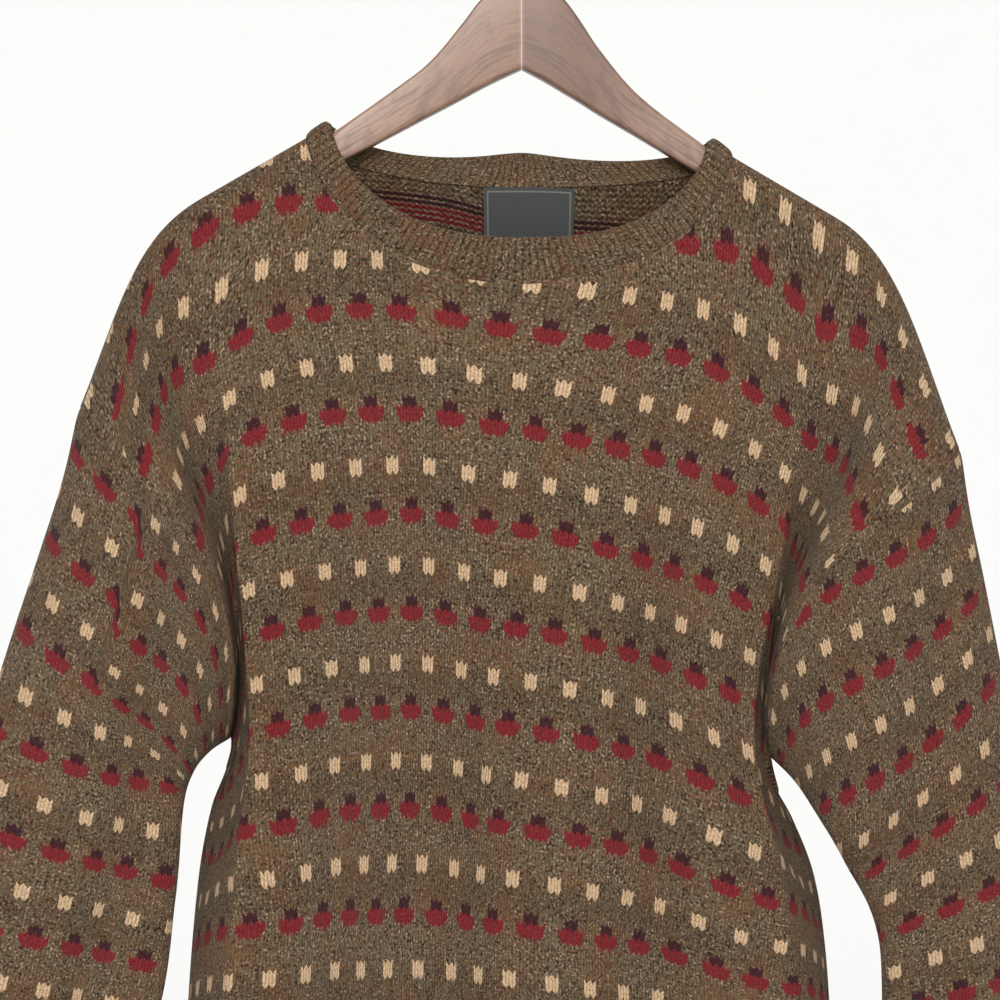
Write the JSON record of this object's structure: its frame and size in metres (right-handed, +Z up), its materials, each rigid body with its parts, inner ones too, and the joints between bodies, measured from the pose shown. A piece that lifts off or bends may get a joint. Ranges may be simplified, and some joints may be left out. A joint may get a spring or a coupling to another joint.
{
  "type": "fair isle jumper on a wooden hanger",
  "caption": "Brown marled fair isle jumper with small red motifs and cream dots, crew neck and drop shoulders, hanging on a flat wooden hanger",
  "frame": {"origin": "seat of the hook, the point inside the top of its bend that rests on a rail", "axes": "+Z up, the front of the jumper faces -Y, +X to the viewer's right when looking at the front"},
  "size_m": [0.7093, 0.1173, 0.8805],
  "materials": {
    "knit": "marled wool knit with a small red and cream repeat",
    "rib": "marled wool rib",
    "label": "woven satin label, blank",
    "wood": "stained and lacquered wood",
    "steel": "bright steel wire"
  },
  "bodies": {
    "root": {"front_panel": "knit", "back_panel": "knit", "sleeve_left": "knit", "sleeve_right": "knit", "neckband": "rib", "hem_rib": "rib", "cuff_left": "rib", "cuff_right": "rib", "neck_label": "label", "hanger_left": "wood", "hanger_right": "wood", "hook": "steel"}
  },
  "joints": []
}
